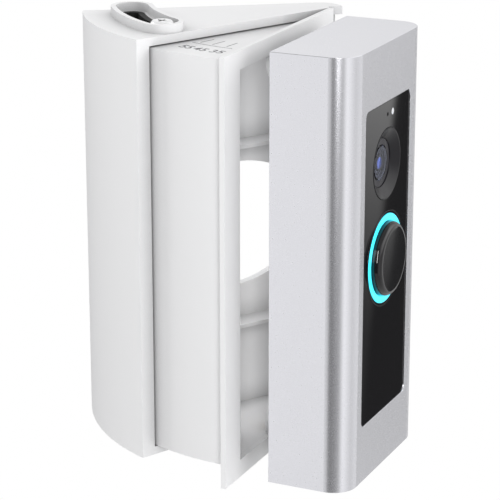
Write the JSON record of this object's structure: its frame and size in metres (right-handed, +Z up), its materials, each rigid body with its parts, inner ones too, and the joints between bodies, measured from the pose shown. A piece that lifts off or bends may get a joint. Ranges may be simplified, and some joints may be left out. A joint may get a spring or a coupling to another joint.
{
  "type": "video doorbell",
  "caption": "Slim video doorbell with camera, lit press button and satin faceplate, on a hinged wedge mount that turns it away from the wall and locks with a screw in an arc slot.",
  "frame": {"origin": "on the wall face, midway between the two wall-screw holes", "axes": "+Z up, +Y into the wall, so the object stands towards -Y; +X to the right seen from the room, on the hinge side"},
  "size_m": [0.0835, 0.0709, 0.1161],
  "materials": {
    "white_abs": "moulded, fine satin",
    "satin_silver": "satin silver, fine grain",
    "black_gloss": "gloss black",
    "black_bezel": "gloss black, raised",
    "black_button": "semi-gloss black",
    "black_housing": "moulded matte black",
    "cyan_ring": "translucent light guide, lit",
    "lens_glass": "coated glass",
    "lens_black": "ribbed matte black",
    "steel": "machined steel",
    "zinc_head": "white-passivated steel",
    "black_washer": "blackened steel",
    "brass": "turned brass",
    "rubber_seal": "silicone",
    "circuit_board": "solder mask",
    "led_white": "moulded lens",
    "white_diffuser": "opal",
    "tin_can": "tinned sheet",
    "sensor_brown": "moulded",
    "speaker_black": "moulded and mesh",
    "cell_sleeve": "shrink sleeve",
    "ivory_plastic": "moulded"
  },
  "bodies": {
    "fixed_wedge": {"outer_wedge": "white_abs", "hinge_pin": "steel"},
    "swing_wedge": {"inner_wedge": "white_abs", "screw_inserts": "brass", "lock_nut": "steel"},
    "lock_head": {"lock_screw": "zinc_head", "lock_washer": "black_washer"},
    "doorbell": {"faceplate": "satin_silver", "rear_housing": "black_housing", "front_housing": "black_housing", "housing_gasket": "rubber_seal", "housing_screws": "steel", "front_panel": "black_gloss", "camera_bezel": "black_bezel", "lens_barrel": "lens_black", "lens_glass": "lens_glass", "camera_module": "circuit_board", "light_sensor": "white_diffuser", "microphone": "tin_can", "button_trim": "black_gloss", "light_ring": "cyan_ring", "ring_board": "circuit_board", "ring_leds": "led_white", "button_switch": "speaker_black", "main_board": "circuit_board", "shield_can": "tin_can", "motion_sensor": "sensor_brown", "speaker": "speaker_black", "backup_cell": "cell_sleeve", "wifi_antenna": "brass", "terminal_block": "black_housing", "terminal_screws": "brass", "mounting_screws": "steel", "security_screw": "steel"},
    "button": {"button_cap": "black_button", "switch_plunger": "ivory_plastic"}
  },
  "joints": [
    {"name": "wedge_swing", "type": "hinge", "parent": "fixed_wedge", "child": "swing_wedge", "pos_m": [0.031, -0.0062, 0], "axis": [0, 0, 1], "range_deg": [-25, 0]},
    {"name": "lock_turn", "type": "hinge", "parent": "swing_wedge", "child": "lock_head", "pos_m": [-0.01495, -0.02832, 0.0567], "axis": [0, 0, 1], "range_deg": [0, 180]},
    {"name": "doorbell_seat", "type": "slide", "parent": "swing_wedge", "child": "doorbell", "axis": [0.8192, -0.5736, 0], "range_m": [-0.0074, 0.02]},
    {"name": "button_press", "type": "slide", "parent": "doorbell", "child": "button", "axis": [-0.8192, 0.5736, 0], "range_m": [0, 0.0006], "stiffness_N_per_m": 2500, "springref_m": -0.0006}
  ]
}
